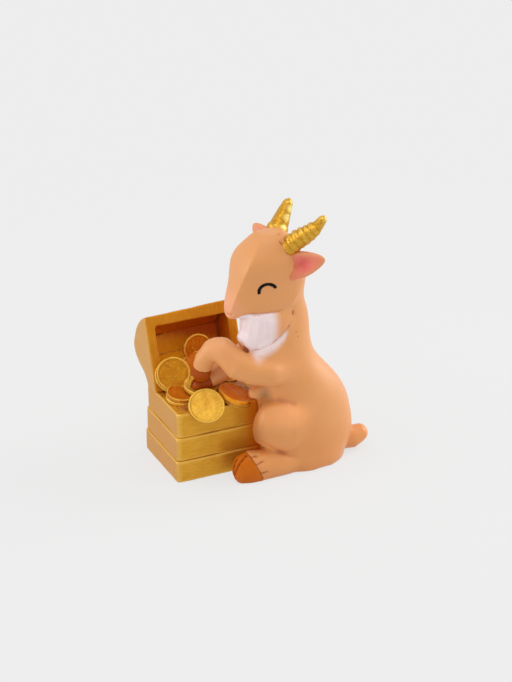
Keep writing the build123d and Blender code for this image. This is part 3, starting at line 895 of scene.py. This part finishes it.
# Every face goes to the node that it lies nearest to.
labels = []
for face in master.data.polygons:
    best, owner = 1.0, 0
    for index, tree in enumerate(measure):
        distance = tree.find_nearest(face.center, best)[3]
        if distance is not None and distance < best:
            best, owner = distance, index
    labels.append(owner)
settle(master, labels, smallest_patch)
trim_corners(master, labels)

# Each piece keeps its own faces, and its cuts are drawn together to one point inside it.
for index, (node, name) in enumerate(body_nodes.items()):
    only(master)
    bpy.ops.object.duplicate()
    piece = bpy.context.object
    piece.name = name
    pick(piece, "FACE", lambda f: labels[f.index] != index)
    bpy.ops.mesh.delete(type="FACE")
    bpy.ops.mesh.select_mode(type="EDGE")
    bpy.ops.mesh.select_all(action="DESELECT")
    bpy.ops.mesh.select_non_manifold()
    bpy.ops.mesh.mark_sharp()
    bpy.ops.mesh.extrude_edges_move()
    bpy.ops.mesh.merge(type="COLLAPSE")
    only(piece)
    if node in ("goat_beard", "goat_bib"):
        hand_over(piece, beard_white, "beard_paint", node)
    elif node in ear_paints:
        hand_over(piece, ear_paints[node], "ear_paint", node)
    else:
        hand_over(piece, skin, "fur_paint", node)
bpy.data.objects.remove(master)

# ---------------------------------------------------------------------------------------------
# Closed eyes: one bent stroke of glossy black on each cheek, thick as a fine brush lays it.
# The CAD inlay has the right line, so it is only swelled a little and rounded.
stroke_grain = 0.07 * mm
stroke_swell = 0.1 * mm


def eye_paint():
    """Glossy black, a little brown where it is thin."""
    paint = Paint("eye_black_paint", IOR=1.5, Specular_IOR_Level=0.12)
    edge = paint.grain(0.5, 2)
    body = paint.mix(edge, colour(6, 5, 5), colour(18, 15, 13))
    return paint.finish(body, 0.22 + edge * 0.1, None, edge, 0.02)


eye_black = eye_paint()
for side in ("left", "right"):
    line = merged_copy(f"goat_{side}_eye_line", f"goat_{side}_eye_stroke")
    clay(line, stroke_grain, 0)
    apply(line, "DISPLACE", strength=stroke_swell, mid_level=0)
    apply(line, "SMOOTH", factor=0.5, iterations=6)
    hand_over(line, eye_black, "eye_paint", f"goat_{side}_eye_line")

# ---------------------------------------------------------------------------------------------
# Hooves: cloven blocks that were cut with a knife, with soft edges. They are painted an even
# orange-brown that runs a little into the hair above them.


def hoof_paint(name, light, dark):
    """An even brown that is darker in the cleft."""
    paint = Paint(name, IOR=1.5, Specular_IOR_Level=0.15)
    drift = paint.grain(1.8, 3)
    fine = paint.grain(0.3, 3)
    body = paint.mix(drift, dark, light)
    low = paint.fade(paint.stored("hollow"), 0.12, 0.7)
    body = paint.mix(low * 0.8, body, colour(120, 48, 4))
    return paint.finish(body, 0.34 + fine * 0.1, None, fine, 0.02)


hoof_brown = hoof_paint("hoof_brown_paint", colour(210, 112, 10), colour(194, 95, 2))
dark_hoof = hoof_paint("fore_hoof_paint", colour(176, 78, 2), colour(158, 64, 0))
claw_line = [
    (-10.7, -5.4, 1.0),
    (-11.0, -6.2, 3.0),
    (-10.6, -6.7, 4.6),
    (-9.4, -6.6, 6.0),
    (-8.1, -6.1, 6.8),
]
for leg in ("left_hind", "right_hind", "left_fore", "right_fore"):
    hoof = merged_copy(f"goat_{leg}_hoof", f"goat_{leg}_claws")
    clay(hoof, 0.15 * mm, 4)
    carve(hoof, 1.8 * mm, 0.12 * mm)
    if leg == "left_hind":
        score(hoof, 0.3, 0.5, claw_line, ends=0)
    hollows(hoof, 14, 0.1 * mm)
    brown = dark_hoof if "fore" in leg else hoof_brown
    hand_over(hoof, brown, "hoof_paint", f"goat_{leg}_hoof")

# ---------------------------------------------------------------------------------------------
# Horns: cones that sweep back, with growth rings cut into their front and a smooth back. The
# gold has painted highlights on the crests, and a brown wash fills the cuts.
crest_swell = 0.65
crest_lift = 0.35
crest_roundness = 0.6


def horn_paint():
    """Painted highlights: bright gold on the crests, and three bright patches up the far horn."""
    paint = Paint("horn_gold_paint", IOR=1.5)
    pits = paint.grain(0.4, 3)
    body = paint.mix(paint.fade(pits, 0.3, 0.7), colour(190, 126, 10), colour(214, 160, 38))
    # Painted highlight on the crests.
    high = paint.fade(paint.stored("hollow"), 0.0, -0.5)
    body = paint.mix(high * 0.85, body, colour(246, 216, 108))
    sx, sy, sz = seat
    # Painted highlights on the far horn's facets.
    far_horn_highlight = 0.0
    for x, y, z in ((4.8, 1.6, 58.0), (6.1, 2.7, 59.8), (7.4, 3.7, 61.4)):
        far_horn_highlight = far_horn_highlight + paint.spot((sx + x, sy + y, sz + z), (1.3, 1.3, 1.3), 0.3)
    body = paint.mix(far_horn_highlight * 0.9, body, colour(252, 228, 128))
    low = paint.fade(paint.stored("hollow") + (pits - 0.5) * 0.3, 0.15, 0.7)
    body = paint.mix(low * 0.75, body, colour(150, 88, 8))
    return paint.finish(body, 0.28 + pits * 0.14, 0.7 - low * 0.35 - far_horn_highlight * 0.4, pits, 0.03)


horn_gold = horn_paint()


def ringed_horn(side, stations, rings, first_ring, last_ring, depth):
    """Draws a cone out ring by ring, bends it along its line and softens it."""
    points = [seat + Vector(station[:3]) for station in stations]
    line = bpy.data.curves.new("horn_line", "CURVE")
    line.dimensions = "3D"
    line.resolution_u = 32
    spline = line.splines.new("NURBS")
    spline.points.add(len(points) - 1)
    for point, place in zip(spline.points, points):
        point.co = (*(place * mm), 1)
    spline.use_endpoint_u = True
    spline.order_u = 4
    guide = bpy.data.objects.new("horn_line", line)
    bpy.context.collection.objects.link(guide)
    bpy.context.view_layer.update()
    length = spline.calc_length()

    def radius(t):
        at = t * (len(stations) - 1)
        i = min(int(at), len(stations) - 2)
        return stations[i][3] + (stations[i + 1][3] - stations[i][3]) * (at - i)

    slices = 12 * rings
    bpy.ops.mesh.primitive_circle_add(
        vertices=40, radius=radius(0) * mm, rotation=(0, pi / 2, 0), fill_type="NGON"
    )
    horn = bpy.context.object
    horn.name = f"goat_{side}_horn_ringed"
    only(horn)
    bpy.ops.object.transform_apply()
    bpy.ops.object.mode_set(mode="EDIT")
    bpy.ops.mesh.select_all(action="SELECT")
    before = radius(0)
    shift_before = 0.0
    for k in range(1, slices + 1):
        t = k / slices
        crest = 0.0
        if first_ring < t < last_ring:
            phase = (t - first_ring) / (last_ring - first_ring) * rings % 1
            crest = depth * sin(pi * phase) ** crest_roundness
        now = radius(t) * (1 + crest * crest_swell)
        shift = radius(t) * crest * crest_lift
        bpy.ops.mesh.extrude_region_move(
            TRANSFORM_OT_translate={"value": (length / slices, 0, (shift - shift_before) * mm)}
        )
        bpy.ops.transform.resize(value=(1, now / before, now / before))
        before, shift_before = now, shift
    for k in (0.8, 0.55, 0.25):
        bpy.ops.mesh.extrude_region_move(
            TRANSFORM_OT_translate={"value": (before * 0.3 * mm, 0, 0)}
        )
        bpy.ops.transform.resize(value=(1, k, k))
    only(horn)
    apply(horn, "CURVE", object=guide, deform_axis="POS_X")
    bpy.data.objects.remove(guide)
    pick(horn, "FACE", lambda f: True)
    bpy.ops.mesh.normals_make_consistent(inside=False)
    clay(horn, 0.14 * mm, 2)
    carve(horn, 1.2 * mm, 0.1 * mm)
    hollows(horn, 14, 0.09 * mm)
    hand_over(horn, horn_gold, "horn_gold", f"goat_{side}_horn")


left_line = [
    (2.6, -1.6, 51.0, 1.9),
    (3.0, -3.2, 54.8, 1.9),
    (4.9, -4.5, 57.3, 1.95),
    (7.4, -5.2, 58.4, 1.85),
    (9.4, -5.9, 60.2, 1.45),
    (10.6, -6.4, 62.3, 0.95),
]
right_line = [
    (1.6, 2.6, 52.0, 2.7),
    (3.6, 3.6, 56.0, 2.6),
    (5.9, 4.6, 59.6, 1.9),
    (7.6, 5.3, 62.4, 1.15),
]
ringed_horn("left", left_line, 7, 0.2, 0.84, 0.32)
ringed_horn("right", right_line, 3, 0.2, 0.55, 0.14)

# ---------------------------------------------------------------------------------------------
# Studio: a pale seamless floor, soft light from the upper left and the right, and a camera
# that looks down on the chest's front left corner.
floor_grey = colour(237, 237, 237)
floor_radius = 2.0
sky_strength = 0.72
lamp_distance = 0.6
camera_azimuth = radians(-24.883)
camera_elevation = radians(25.887)
camera_distance = 0.5228
camera_aim = Vector((chest_corner.x, chest_corner.y, 0)) + Vector((22.39, 5.61, 29.49)) * mm

bpy.ops.mesh.primitive_circle_add(vertices=64, radius=floor_radius, fill_type="NGON")
floor = bpy.context.object
floor.name = "studio_floor"

# The camera and glossy rays see the paper glow evenly, and more so away from the figurine.
cover = Paint("studio_paper")
away = cover.vector("LENGTH", cover.metres)
path = cover.node("ShaderNodeLightPath")
glossy = cover.node("ShaderNodeLightPath", output="Is Glossy Ray")
seen = path + glossy
plain = cover.node("ShaderNodeBsdfDiffuse", {}, {"Color": floor_grey})
glow = cover.node("ShaderNodeEmission", {}, {"Color": floor_grey})
share = seen * cover.fade(away, 0.06, 0.2, 0.8, 1.0)
blend = cover.node("ShaderNodeMixShader", {}, {0: share, 1: plain, 2: glow})
cover.tree.links.new(blend.socket, cover.tree.nodes["Material Output"].inputs[0])
cover.tree.nodes.remove(cover.shader)
floor.data.materials.append(cover.material)

# The sky is as bright as the paper where it is seen, and a little dimmer as a light.
world = bpy.data.worlds.new("studio")
bpy.context.scene.world = world
world.use_nodes = True
sky = world.node_tree.nodes["Background"]
sky.inputs["Color"].default_value = floor_grey
nodes, links = world.node_tree.nodes, world.node_tree.links
light_path = nodes.new("ShaderNodeLightPath")
seen = nodes.new("ShaderNodeMath")
links.new(light_path.outputs["Is Camera Ray"], seen.inputs[0])
links.new(light_path.outputs["Is Glossy Ray"], seen.inputs[1])
level = nodes.new("ShaderNodeMapRange")
links.new(seen.outputs[0], level.inputs["Value"])
level.inputs["To Min"].default_value = sky_strength
links.new(level.outputs[0], sky.inputs["Strength"])


def lamp(name, azimuth, elevation, size, power):
    """A soft box that looks at the figurine from `azimuth`, where 0 is the front."""
    a, e = radians(azimuth), radians(elevation)
    way = Vector((sin(a) * cos(e), -cos(a) * cos(e), sin(e)))
    bpy.ops.object.light_add(type="AREA", location=camera_aim + way * lamp_distance)
    box = bpy.context.object
    box.name = name
    box.rotation_euler = way.to_track_quat("Z", "Y").to_euler()
    box.data.size = size
    box.data.energy = power


lamp("soft_box_left", -105, 12, 0.45, 1.3)
lamp("soft_box_right", 85, 22, 0.45, 1.9)
lamp("soft_box_top", -30, 75, 0.4, 0.9)

to_camera = Vector(
    (
        sin(camera_azimuth) * cos(camera_elevation),
        -cos(camera_azimuth) * cos(camera_elevation),
        sin(camera_elevation),
    )
)
bpy.ops.object.camera_add(location=camera_aim + to_camera * camera_distance)
camera = bpy.context.object
camera.rotation_euler = to_camera.to_track_quat("Z", "Y").to_euler()
camera.data.lens = 120
camera.data.sensor_width = 36
camera.data.clip_start = 0.01
bpy.context.scene.camera = camera
bpy.context.scene.view_settings.view_transform = "Standard"
